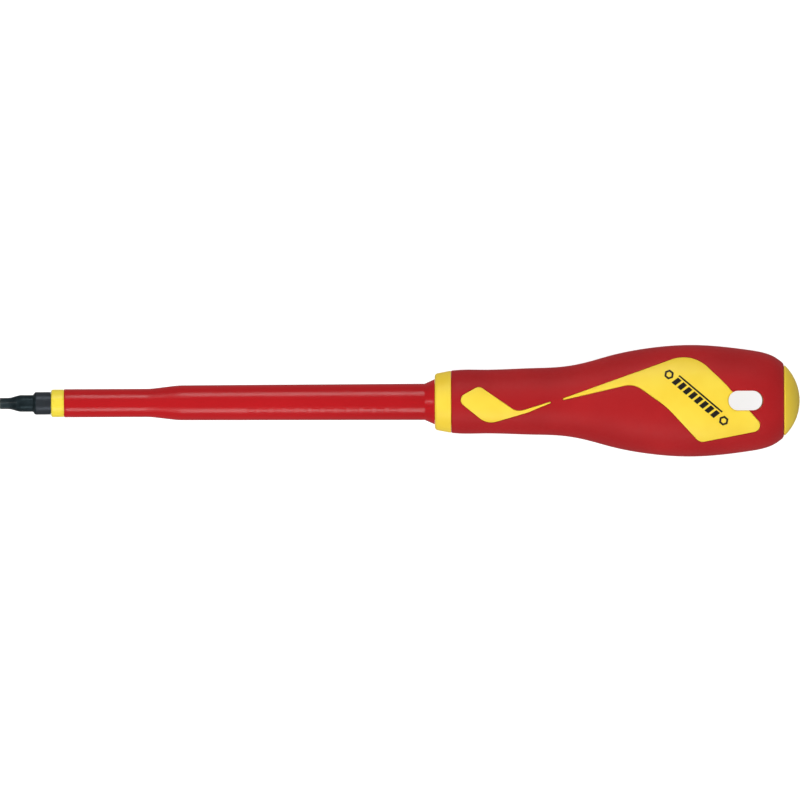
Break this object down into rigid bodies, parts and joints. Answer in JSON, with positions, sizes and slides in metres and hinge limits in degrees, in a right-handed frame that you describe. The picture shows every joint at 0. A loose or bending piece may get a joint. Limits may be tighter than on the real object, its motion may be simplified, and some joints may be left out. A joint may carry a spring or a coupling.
{
  "type": "insulated screwdriver",
  "caption": "Insulated hexagon screwdriver: slim two-layer sleeve over a steel blade, pear-shaped two-tone handle with a hanging slot near its end.",
  "frame": {"origin": "middle of the tool's bounding box in plan, at the height of the surface that the handle's belly rests on", "axes": "+X along the shaft from the tip to the handle's end, +Z out of the flatter face of the handle, along the hanging slot; +Y to the left of the handle seen from the tip"},
  "size_m": [0.23, 0.032, 0.0287],
  "materials": {
    "blackened_steel": "blackened, satin",
    "yellow_insulation": "moulded, glossy",
    "red_insulation": "moulded, glossy",
    "yellow_plastic": "moulded, fine satin",
    "red_soft_grip": "soft-touch, fine matt"
  },
  "bodies": {
    "root": {"blade": "blackened_steel", "inner_insulation": "yellow_insulation", "outer_insulation": "red_insulation", "front_collar": "yellow_plastic", "handle_core": "yellow_plastic", "soft_grip": "red_soft_grip", "front_inlay_upper": "yellow_plastic", "rear_inlay_upper": "yellow_plastic", "front_inlay_lower": "yellow_plastic", "rear_inlay_lower": "yellow_plastic", "end_cap": "yellow_plastic"}
  },
  "joints": []
}
